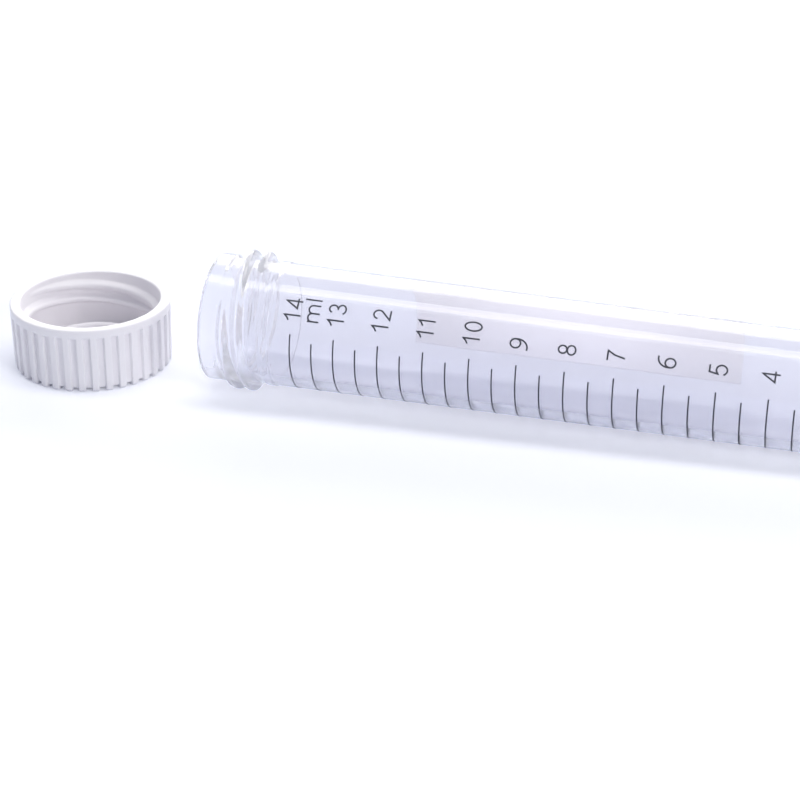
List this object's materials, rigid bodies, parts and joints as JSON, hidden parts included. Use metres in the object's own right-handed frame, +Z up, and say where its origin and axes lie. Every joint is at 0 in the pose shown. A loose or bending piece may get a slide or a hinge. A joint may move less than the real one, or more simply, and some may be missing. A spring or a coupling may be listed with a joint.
{
  "type": "conical centrifuge tube",
  "caption": "Translucent graduated conical tube lying on its side, with its white ribbed screw cap standing open side up beside the mouth.",
  "frame": {"origin": "on the floor, below the centre of the box round both pieces", "axes": "+X along the lying tube from its mouth to its tip, +Z up, +Y to the left of +X"},
  "size_m": [0.1506, 0.0226, 0.0193],
  "materials": {
    "tube_plastic": "glossy translucent moulding",
    "cap_plastic": "satin opaque moulding"
  },
  "bodies": {
    "root": {"tube": "tube_plastic", "cap": "cap_plastic"}
  },
  "joints": []
}
